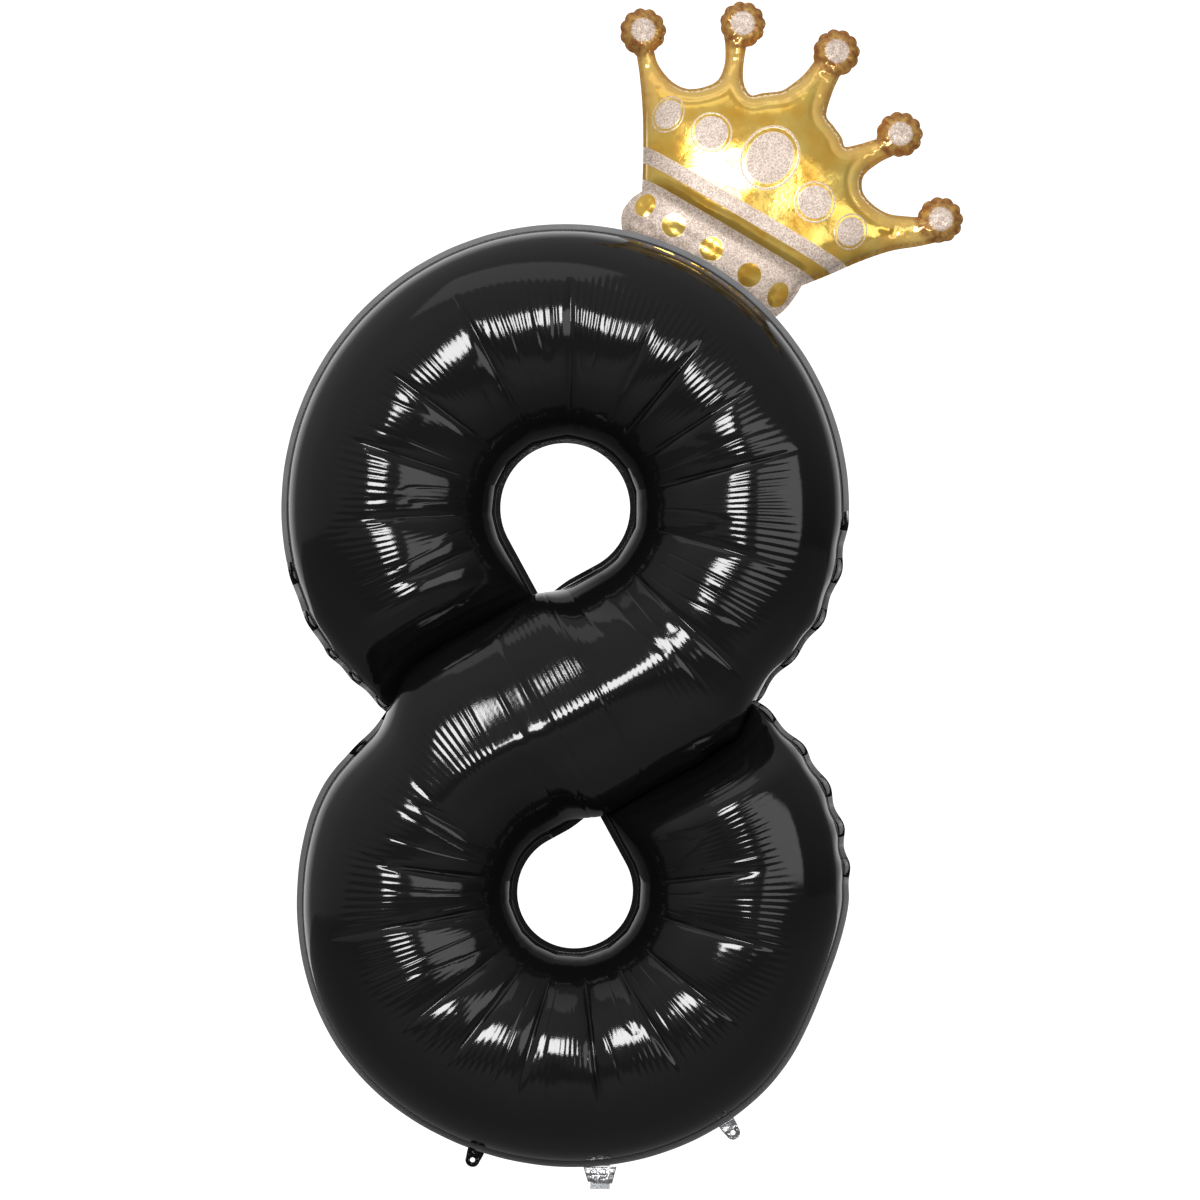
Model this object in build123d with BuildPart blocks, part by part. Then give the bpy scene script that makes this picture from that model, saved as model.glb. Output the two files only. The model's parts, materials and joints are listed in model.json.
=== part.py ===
"""Foil number balloon: a black figure 8 with a small gold crown balloon stuck behind its right shoulder.

The 8 is one long air chamber bent into an S. Its two ends stop at straight welds beside the diagonal.
Units are millimetres. +Z is up and the front of the 8 faces -Y. The origin is on the bottom rim, in the
mid plane, where the filling neck leaves and a ribbon is tied. Each ply of film is drawn thicker than real
film, so that it stays a sound solid.
"""

import os
from math import acos, cos, degrees, radians, sin, sqrt

from build123d import *

# Film
FILM = 0.6  # one ply of balloon film, as modelled
VALVE_FILM = 0.2  # one ply of a self-sealing valve
HINGE_GAP = 0.9  # bare film between a fold line and the flap that turns about it
OVERCUT = 1.0  # by which a cutter overruns what it cuts

# The 8: an air chamber of elliptical section along an S
TUBE_HALF_WIDTH = 94.0
TUBE_HALF_DEPTH = 82.0
SEAM = 6.0  # flat welded margin beside the chamber
WELD = 4.0  # width of the weld between an end of the chamber and the diagonal
UPPER_RING = 159.0  # centreline radius of the upper lobe
LOWER_RING = 152.0  # centreline radius of the lower lobe
LOBE_SPACING = 349.0  # between the centres of the two lobes
LEAN = 1.6  # degrees that the line of the two centres leans to the left
BAND = TUBE_HALF_WIDTH + SEAM
RIM = LOWER_RING + BAND
NECK_OFFSET = 22.0  # the neck leaves the rim this far to the right of the lower lobe's centre

# Flaps on the lower rim, by their bearing about the lower lobe's centre
LEFT_TAB_BEARING = 249.0
RIGHT_TAB_BEARING = 303.0
TAB_ROOT = 16.0
TAB_END = 6.5  # radius of the rounded end
TAB_LENGTH = 11.0  # from the fold line to the hole
TAB_HOLE = 2.3
NECK_ROOT = 30.0
NECK_MOUTH = 22.0
NECK_LENGTH = 15.0
VALVE_WIDTH = 18.0
VALVE_LENGTH = 110.0
VALVE_SLIT = 24.0  # height of the slit between the plies, about the rim
SLEEVE_LENGTH = 21.0

# The crown, in its own plane: across, up, and towards the front
CROWN_BEARING = 60.4  # about the upper lobe's centre
CROWN_REACH = 287.0  # from that centre to the crown's waist
CROWN_TURN = 30.5  # degrees clockwise
CROWN_BACK = 53.0  # mid plane of the crown behind that of the 8
CROWN_BASE = -40.0  # lower edge of the crown's chamber, below its waist
TAIL_WIDTH = 24.0
TAIL_LENGTH = 42.0  # from the crown's base
TAIL_GAP = 3.0  # bare film between that base and the stiff part of the tail
TAIL_SLOPE = 27.0  # degrees from the crown's plane, back over the shoulder of the 8
GLUE_DOT = 5.0  # radius
GLUE_SPACING = 14.4
GLUE_REACH = 12.0  # towards the back of the 8, before it is trimmed to that surface
CROWN_VALVE_WIDTH = 14.0
CROWN_VALVE_LENGTH = 70.0
CROWN_SLIT = 2.4  # height of the slit between the plies, about the base

# Height, half width and half depth of the crown's elliptical sections, from its base up
BAND_SECTIONS = ((CROWN_BASE, 78, 6), (-33, 84, 17), (-20, 87, 24), (-8, 84, 21), (6, 78, 12))
BODY_SECTIONS = ((-4, 78, 12), (14, 91, 27), (42, 111, 37), (74, 130, 31), (106, 116, 10))
# Root point, root radius, tip point and tip radius of each prong. Each tip carries a knob.
PRONGS = (
    ((-106, 76), 30, (-150, 120), 9),
    ((-64, 98), 13, (-80, 167), 7),
    ((0, 84), 40, (6, 189), 9),
    ((68, 96), 13, (90, 155), 7),
    ((108, 70), 30, (156, 107), 9),
)
PRONG_FLATNESS = 0.8  # half depth of a prong, as a share of its radius
KNOB_RADIUS = 19.0
KNOB_HALF_DEPTH = 14.0
KNOB_REACH = 12.0  # from a prong's tip on to the knob's centre

# The diagonal climbs to the right, tangent to both centreline rings
lean = radians(90 + LEAN)
turn = 90 + LEAN + degrees(acos((UPPER_RING + LOWER_RING) / LOBE_SPACING))
diagonal_length = sqrt(LOBE_SPACING**2 - (UPPER_RING + LOWER_RING) ** 2)
across = Vector(cos(radians(turn)), 0, sin(radians(turn)))  # square to the diagonal, up to the left
along = Vector(across.Z, 0, -across.X)  # up the diagonal, to the right
front = Vector(0, -1, 0)
lower_centre = Vector(-NECK_OFFSET, 0, sqrt(RIM**2 - NECK_OFFSET**2))
upper_centre = lower_centre + Vector(cos(lean), 0, sin(lean)) * LOBE_SPACING

# Each lobe in its own plane. The end of the chamber lies in the first quarter, under the diagonal.
upper_lobe = Plane(upper_centre, x_dir=-along, z_dir=front)
lower_lobe = Plane(lower_centre, x_dir=along, z_dir=front)
LOBES = ((upper_lobe, UPPER_RING), (lower_lobe, LOWER_RING))


def front_half(half_width, half_depth):
    """Draw half an ellipse in the present sketch, on its front side."""
    Ellipse(half_width, half_depth)
    Rectangle(3 * half_width, 2 * half_depth, align=(Align.CENTER, Align.MAX), mode=Mode.SUBTRACT)


def half_chamber(shrink):
    """Front half of the 8's air chamber, with its walls moved in by shrink."""
    half_width = TUBE_HALF_WIDTH - shrink
    half_depth = TUBE_HALF_DEPTH - shrink
    reach = TUBE_HALF_WIDTH + WELD + shrink
    corner = (across + along).normalized()
    upper_side = upper_centre - along * UPPER_RING
    upper_foot = upper_centre - across * UPPER_RING
    lower_head = lower_centre + across * LOWER_RING
    lower_side = lower_centre + along * LOWER_RING
    start = upper_side - across * (UPPER_RING - reach)
    with BuildPart() as chamber:
        with BuildLine() as path:
            Line(start, upper_side)
            ThreePointArc(upper_side, upper_centre + corner * UPPER_RING, upper_foot)
            Line(upper_foot, lower_head)
            ThreePointArc(lower_head, lower_centre - corner * LOWER_RING, lower_side)
            Line(lower_side, lower_side + across * (LOWER_RING - reach))
        with BuildSketch(Plane(start, x_dir=along, z_dir=-across)):
            front_half(half_width, half_depth)
        sweep(path=path.line)
        for lobe, ring in LOBES:
            run = ring - reach
            end = Plane(lobe.origin + lobe.x_dir * ring, x_dir=lobe.y_dir, z_dir=lobe.x_dir)
            with BuildSketch(end):
                Rectangle(run + OVERCUT, 2 * (TUBE_HALF_DEPTH + OVERCUT), align=(Align.MIN, Align.CENTER))
                Ellipse(run, half_depth, mode=Mode.SUBTRACT)
            extrude(amount=TUBE_HALF_WIDTH + OVERCUT, both=True, mode=Mode.SUBTRACT)
    return chamber.part


chamber_outside = half_chamber(0)
chamber_inside = half_chamber(FILM)

# Front ply: a flat sheet with the S of the 8 domed out of it, slit where the valve comes in
with BuildPart() as front_foil:
    for lobe, ring in LOBES:
        with BuildSketch(lobe):
            Circle(ring + BAND)
            Rectangle(ring + BAND, ring + BAND, align=(Align.MIN, Align.MIN), mode=Mode.SUBTRACT)
            with Locations((ring - BAND, 0)):
                Rectangle(2 * BAND, ring - BAND, align=(Align.MIN, Align.MIN))
            Circle(ring - BAND, mode=Mode.SUBTRACT)
        extrude(amount=FILM)
    with BuildSketch(upper_lobe):
        with Locations((0, UPPER_RING)):
            Rectangle(diagonal_length, 2 * BAND, align=(Align.MIN, Align.CENTER))
    extrude(amount=FILM)
    add(chamber_outside)
    add(chamber_inside, mode=Mode.SUBTRACT)
    with BuildSketch(Plane.XZ):
        Rectangle(VALVE_WIDTH, VALVE_SLIT)
    extrude(amount=VALVE_FILM, mode=Mode.SUBTRACT)

with BuildPart() as back_foil:
    add(mirror(front_foil.part, about=Plane.XZ, mode=Mode.PRIVATE))

# Self-sealing valve: two strips of clear film side by side, from the rim up into the chamber
with BuildPart() as valve_front_film:
    with BuildSketch(Plane.XZ):
        Rectangle(VALVE_WIDTH, VALVE_LENGTH, align=(Align.CENTER, Align.MIN))
    extrude(amount=VALVE_FILM)

with BuildPart() as valve_back_film:
    with BuildSketch(Plane.XZ):
        Rectangle(VALVE_WIDTH, VALVE_LENGTH, align=(Align.CENTER, Align.MIN))
    extrude(amount=-VALVE_FILM)


def rim_plane(bearing):
    """Plane of a flap: its origin on the rim, local y straight out from the lower lobe's centre."""
    out = Vector(cos(radians(bearing)), 0, sin(radians(bearing)))
    return Plane(lower_centre + out * RIM, x_dir=out.cross(front), z_dir=front)


def hang_tab(bearing):
    """Both plies of film, cut to a rounded flap with a hole to hang the balloon by."""
    with BuildPart() as tab:
        with BuildSketch(rim_plane(bearing)):
            with Locations((0, TAB_LENGTH)):
                Circle(TAB_END)
            Polygon(
                (-TAB_ROOT / 2, HINGE_GAP),
                (TAB_ROOT / 2, HINGE_GAP),
                (TAB_END, TAB_LENGTH),
                (-TAB_END, TAB_LENGTH),
                align=None,
            )
            with Locations((0, TAB_LENGTH)):
                Circle(TAB_HOLE, mode=Mode.SUBTRACT)
        extrude(amount=FILM, both=True)
    return tab.part


with BuildPart() as left_hang_tab:
    add(hang_tab(LEFT_TAB_BEARING))

with BuildPart() as right_hang_tab:
    add(hang_tab(RIGHT_TAB_BEARING))

# Filling neck: a ply of film on each side of a flat clear sleeve that stands out past them
with BuildPart() as neck_front_ply:
    with BuildSketch(Plane.XZ.offset(2 * VALVE_FILM)):
        Polygon(
            (-NECK_ROOT / 2, -HINGE_GAP),
            (NECK_ROOT / 2, -HINGE_GAP),
            (NECK_MOUTH / 2, -NECK_LENGTH),
            (-NECK_MOUTH / 2, -NECK_LENGTH),
            align=None,
        )
    extrude(amount=FILM - VALVE_FILM)

with BuildPart() as neck_back_ply:
    add(mirror(neck_front_ply.part, about=Plane.XZ, mode=Mode.PRIVATE))

with BuildPart() as valve_sleeve:
    with BuildSketch(Plane.XY.offset(-SLEEVE_LENGTH)):
        Rectangle(VALVE_WIDTH, 4 * VALVE_FILM)
        Rectangle(VALVE_WIDTH - 2 * VALVE_FILM, 2 * VALVE_FILM, mode=Mode.SUBTRACT)
    extrude(amount=SLEEVE_LENGTH - HINGE_GAP)

# The crown's own frame
crown_up = Vector(sin(radians(CROWN_TURN)), 0, cos(radians(CROWN_TURN)))
crown_right = Vector(crown_up.Z, 0, -crown_up.X)
bearing = radians(CROWN_BEARING)
waist = upper_centre + Vector(cos(bearing), 0, sin(bearing)) * CROWN_REACH - front * CROWN_BACK
crown_plane = Plane(waist, x_dir=crown_right, z_dir=front)
crown_base = waist + crown_up * CROWN_BASE


def half_crown(shrink):
    """Front half of the crown's air chamber, with its walls moved in by shrink."""
    with BuildPart() as crown:
        for sections in (BAND_SECTIONS, BODY_SECTIONS):
            for place, (height, half_width, half_depth) in enumerate(sections):
                end_gap = {0: shrink, len(sections) - 1: -shrink}.get(place, 0)
                level = Plane(waist + crown_up * (height + end_gap), x_dir=crown_right, z_dir=-crown_up)
                with BuildSketch(level):
                    front_half(half_width - shrink, half_depth - shrink)
            loft()
        for root, root_radius, tip, tip_radius in PRONGS:
            root_point = crown_plane.from_local_coords(Vector(*root, 0))
            tip_point = crown_plane.from_local_coords(Vector(*tip, 0))
            way = (tip_point - root_point).normalized()
            side = front.cross(way)
            for point, radius in ((root_point, root_radius), (tip_point, tip_radius)):
                with BuildSketch(Plane(point, x_dir=side, z_dir=way)):
                    front_half(radius - shrink, PRONG_FLATNESS * radius - shrink)
            loft()
            knob = tip_point + way * KNOB_REACH
            cutter = 3 * KNOB_RADIUS
            with BuildSketch(Plane(knob, x_dir=side, z_dir=way)):
                front_half(KNOB_RADIUS - shrink, KNOB_HALF_DEPTH - shrink)
                Rectangle(cutter, cutter, align=(Align.MAX, Align.CENTER), mode=Mode.SUBTRACT)
            revolve(axis=Axis(knob, front))
    return crown.part


# Front ply of the crown, slit at its base for the valve
with BuildPart() as crown_front_foil:
    add(half_crown(0))
    add(half_crown(FILM), mode=Mode.SUBTRACT)
    with BuildSketch(crown_plane):
        with Locations((0, CROWN_BASE)):
            Rectangle(CROWN_VALVE_WIDTH, CROWN_SLIT)
    extrude(amount=VALVE_FILM, mode=Mode.SUBTRACT)

with BuildPart() as crown_back_foil:
    add(mirror(crown_front_foil.part, about=crown_plane, mode=Mode.PRIVATE))

with BuildPart() as crown_valve_front_film:
    with BuildSketch(crown_plane):
        with Locations((0, CROWN_BASE)):
            Rectangle(CROWN_VALVE_WIDTH, CROWN_VALVE_LENGTH, align=(Align.CENTER, Align.MIN))
    extrude(amount=VALVE_FILM)

with BuildPart() as crown_valve_back_film:
    with BuildSketch(crown_plane):
        with Locations((0, CROWN_BASE)):
            Rectangle(CROWN_VALVE_WIDTH, CROWN_VALVE_LENGTH, align=(Align.CENTER, Align.MIN))
    extrude(amount=-VALVE_FILM)

# The crown's tail slopes back over the shoulder of the 8 and is stuck there
slope = radians(TAIL_SLOPE)
tail_way = -crown_up * cos(slope) - front * sin(slope)
tail_plane = Plane(crown_base, x_dir=crown_right, z_dir=crown_right.cross(tail_way))
with BuildPart() as crown_tail:
    with BuildSketch(tail_plane):
        with Locations((0, TAIL_GAP)):
            Rectangle(TAIL_WIDTH, TAIL_LENGTH - TAIL_GAP, align=(Align.CENTER, Align.MIN))
    extrude(amount=FILM, both=True)

# Dots of clear adhesive between the tail and the back of the 8
with BuildPart() as glue_dots:
    with BuildSketch(tail_plane):
        with Locations((0, TAIL_LENGTH - 2 * GLUE_DOT)):
            with GridLocations(GLUE_SPACING, 1, 2, 1):
                Circle(GLUE_DOT)
    extrude(amount=-GLUE_REACH)
    add(crown_tail.part, mode=Mode.SUBTRACT)
    add(mirror(chamber_outside, about=Plane.XZ, mode=Mode.PRIVATE), mode=Mode.SUBTRACT)

pieces = {
    "front_foil": front_foil,
    "back_foil": back_foil,
    "valve_front_film": valve_front_film,
    "valve_back_film": valve_back_film,
    "left_hang_tab": left_hang_tab,
    "right_hang_tab": right_hang_tab,
    "neck_front_ply": neck_front_ply,
    "neck_back_ply": neck_back_ply,
    "valve_sleeve": valve_sleeve,
    "crown_front_foil": crown_front_foil,
    "crown_back_foil": crown_back_foil,
    "crown_valve_front_film": crown_valve_front_film,
    "crown_valve_back_film": crown_valve_back_film,
    "crown_tail": crown_tail,
    "glue_dots": glue_dots,
}
os.makedirs("parts", exist_ok=True)
for name, piece in pieces.items():
    piece.part.label = name
    export_step(piece.part, f"parts/{name}.step")
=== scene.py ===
"""Looks of a foil number balloon: a black figure 8 and a gold crown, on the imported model's frame.

Lengths are in metres. Each ply of the 8 is a closed shell of film whose outer face carries the creases,
ribs and puckers of inflated foil. The crown is inflated from its flat outline.
"""

import json
import math

import bpy
import numpy as np
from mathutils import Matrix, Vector
from mathutils.geometry import delaunay_2d_cdt


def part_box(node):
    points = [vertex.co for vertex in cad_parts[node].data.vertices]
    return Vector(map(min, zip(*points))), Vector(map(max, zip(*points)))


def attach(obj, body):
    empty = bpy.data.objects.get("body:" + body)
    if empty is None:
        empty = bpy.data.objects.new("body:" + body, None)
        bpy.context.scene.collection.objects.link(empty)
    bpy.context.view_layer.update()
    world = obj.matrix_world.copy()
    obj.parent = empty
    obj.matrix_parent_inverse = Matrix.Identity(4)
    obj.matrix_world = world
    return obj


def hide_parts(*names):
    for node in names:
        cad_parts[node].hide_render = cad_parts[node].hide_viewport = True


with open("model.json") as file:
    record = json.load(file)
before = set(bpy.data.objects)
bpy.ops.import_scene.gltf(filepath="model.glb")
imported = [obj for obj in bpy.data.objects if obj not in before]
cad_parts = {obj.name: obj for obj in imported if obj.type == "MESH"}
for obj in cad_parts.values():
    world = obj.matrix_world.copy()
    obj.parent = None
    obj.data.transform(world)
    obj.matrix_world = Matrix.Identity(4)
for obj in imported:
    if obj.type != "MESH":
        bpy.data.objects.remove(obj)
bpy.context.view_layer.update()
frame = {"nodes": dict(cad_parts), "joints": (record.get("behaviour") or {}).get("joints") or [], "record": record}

# ---------------------------------------------------------------- driving dimensions
MM = 0.001
TUBE_HALF_WIDTH = 94 * MM
TUBE_HALF_DEPTH = 82 * MM
SEAM = 6 * MM
WELD = 4 * MM
UPPER_RING = 159 * MM
LOWER_RING = 152 * MM
RIDGE_OFFSET = 9 * MM  # of the diagonal's taut ridge, below its centreline
RIDGE_HEIGHT = 7 * MM
RIDGE_WIDTH = 21 * MM
SWELL = 20 * MM  # of the diagonal, out over the ends of the chamber
FLUTE_PITCH = 26 * MM
ROW_PITCH = 1.3 * MM  # of the film mesh, along the tube
COLUMNS = 64  # of the film mesh, from seam to seam
LINING = 7 * MM  # inner face of the film, inside its outer face
RIB_PITCH = 5.2 * MM

# Long creases and the panels between them
CREASE_WIDTH = 1.3 * MM
CREASE_SPREAD = 1.6 * MM  # added to the width at the crease's outer end
CREASE_DEPTH = 3.0 * MM
PANEL_PUFF = 1.5 * MM

# Parts of the tube, and the two plies
UPPER, LOWER, DIAGONAL = 0, 1, 2
FRONT, BACK = -1, 1

# Tabs and neck on the lower rim
TAB_FILM = 0.8 * MM
TAB_END = 6.5 * MM  # radius of the rounded end
TAB_ROOT = 16 * MM
TAB_HOLE = 2.3 * MM
LEFT_TAB_LAP = -0.9 * MM  # of the root past its fold line, where the rim bulges over it
RIGHT_TAB_LAP = 0.6 * MM
TAB_ROWS, TAB_COLUMNS = 10, 72
NECK_ROWS, NECK_COLUMNS = 20, 30
NECK_MOUTH_SHARE = 22 / 30
NECK_CLEAR = 0.75 * MM  # from the mid plane, outside the sleeve

# The crown, in millimetres in its own plane: across and up from the middle of its waist
CROWN_TURN = 30.5  # degrees clockwise
CROWN_BASE = -40
CROWN_HALF_DEPTH = 40
CROWN_FULLNESS = 0.8
CROWN_SEAM = 1.6
CROWN_MESH = 2.3
PUCKER_PITCH = 7.0
PUCKER_DEPTH = 0.9
CRUMPLE_DEPTH = 2.2  # in the slender prongs
SWAY_DEPTH = 1.4
RIM_BAND = 12.5  # width of the plain band inside the top edge
RIM_GROOVE = 1.8
KNOB_RADIUS = 19.0
KNOB_SCALLOPS = 11
KNOBS = ((-158, 130), (-82, 182), (6, 204), (95, 168), (167, 119))
# Edge before, between and after the knobs, clockwise from the left end of the base
CROWN_EDGES = (
    (
        ((-70, -40), (-80, -37), (-88, -24), (-87, -9), (-82, 2)),
        ((-82, 2), (-99, 33), (-119, 66), (-138, 93), (-150, 108)),
    ),
    (
        (
            (-142, 119), (-131, 109), (-113, 102), (-96, 103), (-82, 113),
            (-74, 126), (-76, 142), (-84, 157), (-91, 166),
        ),
    ),
    (
        (
            (-70, 165), (-63, 148), (-54, 134), (-42, 128), (-32, 136),
            (-19, 146), (-13, 157), (-8, 171), (-6, 186),
        ),
    ),
    (((18, 186), (20, 169), (26, 148), (38, 142), (49, 137), (57, 131), (68, 140), (80, 153)),),
    (((99, 150), (90, 136), (84, 118), (91, 104), (106, 98), (123, 98), (138, 104), (150, 110)),),
    (
        ((173, 100), (160, 88), (141, 72), (122, 50), (103, 24), (86, 2)),
        ((86, 2), (86, -10), (84, -24), (79, -36), (70, -40)),
    ),
)
# Centre and radii of the printed gems and of the studs on the band
GEMS = (
    ((3, 85), (26.5, 31)),
    ((-55, 78), (19, 19)),
    ((59, 71), (19, 19)),
    ((-98, 73), (14, 18)),
    ((101, 65), (15, 17)),
)
STUDS = (
    ((-74, -9), (9, 11)),
    ((-42, -12), (11, 11)),
    ((-1, -13), (11, 11)),
    ((41, -16), (11, 11)),
    ((73, -18), (9, 12)),
)
BANDS = ((24.5, 38), (-60, 12))  # heights of the glitter bands
GOLD = (0.98, 0.70, 0.17, 1)
ORANGE_GOLD = (0.90, 0.50, 0.07, 1)
SATIN_GOLD = (0.95, 0.62, 0.20, 1)
COPPER = (0.34, 0.12, 0.035, 1)
GLITTER_PALE = (1.0, 0.86, 0.77, 1)
GLITTER_DARK = (0.50, 0.36, 0.26, 1)

# Bearing of each long crease about its lobe's centre, and how far across the tube it runs
UPPER_CREASES = (
    (-44, 0.80), (-15, 0.70), (13, 0.76), (32, 0.66), (50, 0.66), (64, 0.60), (88, 0.72), (117, 0.74),
    (142, 0.66), (163, 0.66), (184, 0.58), (205, 0.50),
)
LOWER_CREASES = (
    (150, 0.50), (170, 0.55), (189, 0.80), (218, 0.62), (234, 0.60), (254, 0.66), (277, 0.70), (301, 0.66),
    (322, 0.62), (345, 0.62), (368, 0.55),
)

openings = {o["name"]: np.array(o["box_m"]).mean(0) for o in frame["record"]["physics"]["openings"]}
upper_centre = openings["upper_hole"][[0, 2]]
lower_centre = openings["lower_hole"][[0, 2]]
spacing = float(np.linalg.norm(upper_centre - lower_centre))
lean = math.atan2(*(upper_centre - lower_centre)[::-1])
turn = lean + math.acos((UPPER_RING + LOWER_RING) / spacing)
across = np.array((math.cos(turn), math.sin(turn)))  # square to the diagonal, up to the left
along = np.array((across[1], -across[0]))  # up the diagonal, to the right
crown_up = np.array((math.sin(math.radians(CROWN_TURN)), 0, math.cos(math.radians(CROWN_TURN))))
crown_right = np.array((crown_up[2], 0, -crown_up[0]))
pivots = {joint["child"]: np.array(joint["pos_m"]) for joint in frame["joints"]}
waist = pivots["crown"] - CROWN_BASE * MM * crown_up


# ---------------------------------------------------------------- noise
def noise(x, y, seed):
    """Smooth value noise from -1 to 1, over a repeating grid of random values."""
    grid = np.random.default_rng(seed).uniform(-1, 1, (256, 64))
    column, row = np.floor(x).astype(int), np.floor(y).astype(int)
    u, v = x - column, y - row
    u, v = u * u * (3 - 2 * u), v * v * (3 - 2 * v)
    corner = [grid[(column + i) % 256, (row + j) % 64] for i in (0, 1) for j in (0, 1)]
    return (corner[0] * (1 - v) + corner[1] * v) * (1 - u) + (corner[2] * (1 - v) + corner[3] * v) * u


def ramp(x, low, high):
    """0 below low, 1 above high, smooth between."""
    x = np.clip((x - low) / (high - low), 0, 1)
    return x * x * (3 - 2 * x)


def hump(x, low, high, edge):
    """1 from low to high, falling to 0 over edge on both sides."""
    return ramp(x, low - edge, low) * (1 - ramp(x, high, high + edge))


def blurred(rows, reach):
    """Running mean of a value per row, over reach rows to each side."""
    window = 2 * reach + 1
    return np.convolve(np.pad(rows, reach, mode="edge"), np.ones(window) / window, mode="valid")


# ---------------------------------------------------------------- the S of the 8
def stations():
    """Rows along the air tube, from one weld to the other. x runs to the left of the way along it."""
    run = {UPPER: UPPER_RING - TUBE_HALF_WIDTH - WELD, LOWER: LOWER_RING - TUBE_HALF_WIDTH - WELD}
    diagonal = math.sqrt(spacing**2 - (UPPER_RING + LOWER_RING) ** 2)
    point, way, end_share, bearing, lobe, outer = [], [], [], [], [], []

    def add(place, direction, share, angle, which, side):
        for values, value in zip((point, way, end_share, bearing, lobe, outer),
                                 (place, direction, share, angle, which, side)):
            values.append(value)

    def end(start, which, side, rising):
        count = round(1.25 * run[which] / ROW_PITCH)
        rows = [((1 - math.cos((i + 0.5) / count * math.pi / 2)), 0) for i in range(count)]
        rows = [(0, WELD - 1.3 * MM)] + rows
        for share, beyond in rows if rising else rows[::-1]:
            back = run[which] * (1 - share) + beyond
            add(start - across * side * back, across, share, math.nan, which, side)

    def bend(centre, ring, start, sweep, which, side):
        count = round(1.5 * math.pi * ring / ROW_PITCH)
        for i in range(count):
            angle = start + sweep * (i + 0.5) / count
            out = np.array((math.cos(angle), math.sin(angle)))
            round_ring = -side * np.array((-out[1], out[0]))
            add(centre + out * ring, round_ring, 1, math.degrees(angle), which, side)

    end(upper_centre - along * UPPER_RING, UPPER, 1, True)
    bend(upper_centre, UPPER_RING, turn + math.pi / 2, -1.5 * math.pi, UPPER, 1)
    count = round(diagonal / ROW_PITCH)
    for i in range(count):
        share = (i + 0.5) / count
        place = upper_centre - across * UPPER_RING - along * diagonal * share
        add(place, -along, 1, math.nan, DIAGONAL, 1 - 2 * share)
    bend(lower_centre, LOWER_RING, turn, 1.5 * math.pi, LOWER, -1)
    end(lower_centre + along * LOWER_RING, LOWER, -1, False)
    fields = (point, way, end_share, bearing, lobe, outer)
    return [np.array(f, dtype=float) for f in fields]


def warp(x, z):
    """Gentle pushes in the plane of the figure: place, reach and shift of each."""
    pushes = (
        ((-0.235, 0.420), 0.055, (0.016, -0.006)),
        ((0.190, 0.420), 0.050, (-0.014, 0.006)),
        ((-0.200, 0.130), 0.130, (-0.008, -0.004)),
        ((0.235, 0.150), 0.080, (-0.010, 0.002)),
    )
    dx, dz = np.zeros_like(x), np.zeros_like(z)
    for (px, pz), reach, (sx, sz) in pushes:
        weight = np.exp(-((x - px) ** 2 + (z - pz) ** 2) / reach**2)
        dx += sx * weight
        dz += sz * weight
    return x + dx, z + dz


def creases(bearing, t, lobe, seed):
    """Long radial folds with puffed panels between them, and how far each row is drawn in by its panel."""
    groove = np.zeros_like(t)
    chord = np.ones(len(bearing))
    random = np.random.default_rng(seed)
    for which, ring, folds in ((UPPER, UPPER_RING, UPPER_CREASES), (LOWER, LOWER_RING, LOWER_CREASES)):
        on = (lobe == which) & np.isfinite(bearing)
        angle = bearing[on]
        radius = ring + (2 * t[on] - 1) * TUBE_HALF_WIDTH
        shift = random.uniform(-8, 8) if seed else 0
        for place, reach in folds:
            drift = random.uniform(-3, 3)
            off = angle[:, None] - place - shift - drift * (t[on] - 0.4)
            off = np.radians((off + 180) % 360 - 180) * radius
            width = CREASE_WIDTH + CREASE_SPREAD * (1 - ramp(t[on], 0.2, reach))
            depth = CREASE_DEPTH + random.uniform(-0.5, 1.3) * MM
            envelope = ramp(t[on], 0.05, 0.22) * (1 - ramp(t[on], reach - 0.16, reach + 0.03))
            groove[on] -= depth * envelope * np.exp(-np.abs(off / width) ** 1.15)
        places = sorted(p + shift for p, _ in folds)
        for low, high in zip(places, places[1:]):
            middle, half = (low + high) / 2, (high - low) / 2
            off = (bearing - middle + 180) % 360 - 180
            inside = on & (np.abs(off) <= half)
            chord[inside] = math.cos(math.radians(half)) / np.cos(np.radians(off[inside]))
            puff = 1 - (off[inside, None] / half) ** 2
            groove[inside] += PANEL_PUFF * puff * hump(t[inside], 0.25, 0.50, 0.2)
    return groove, chord


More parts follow.
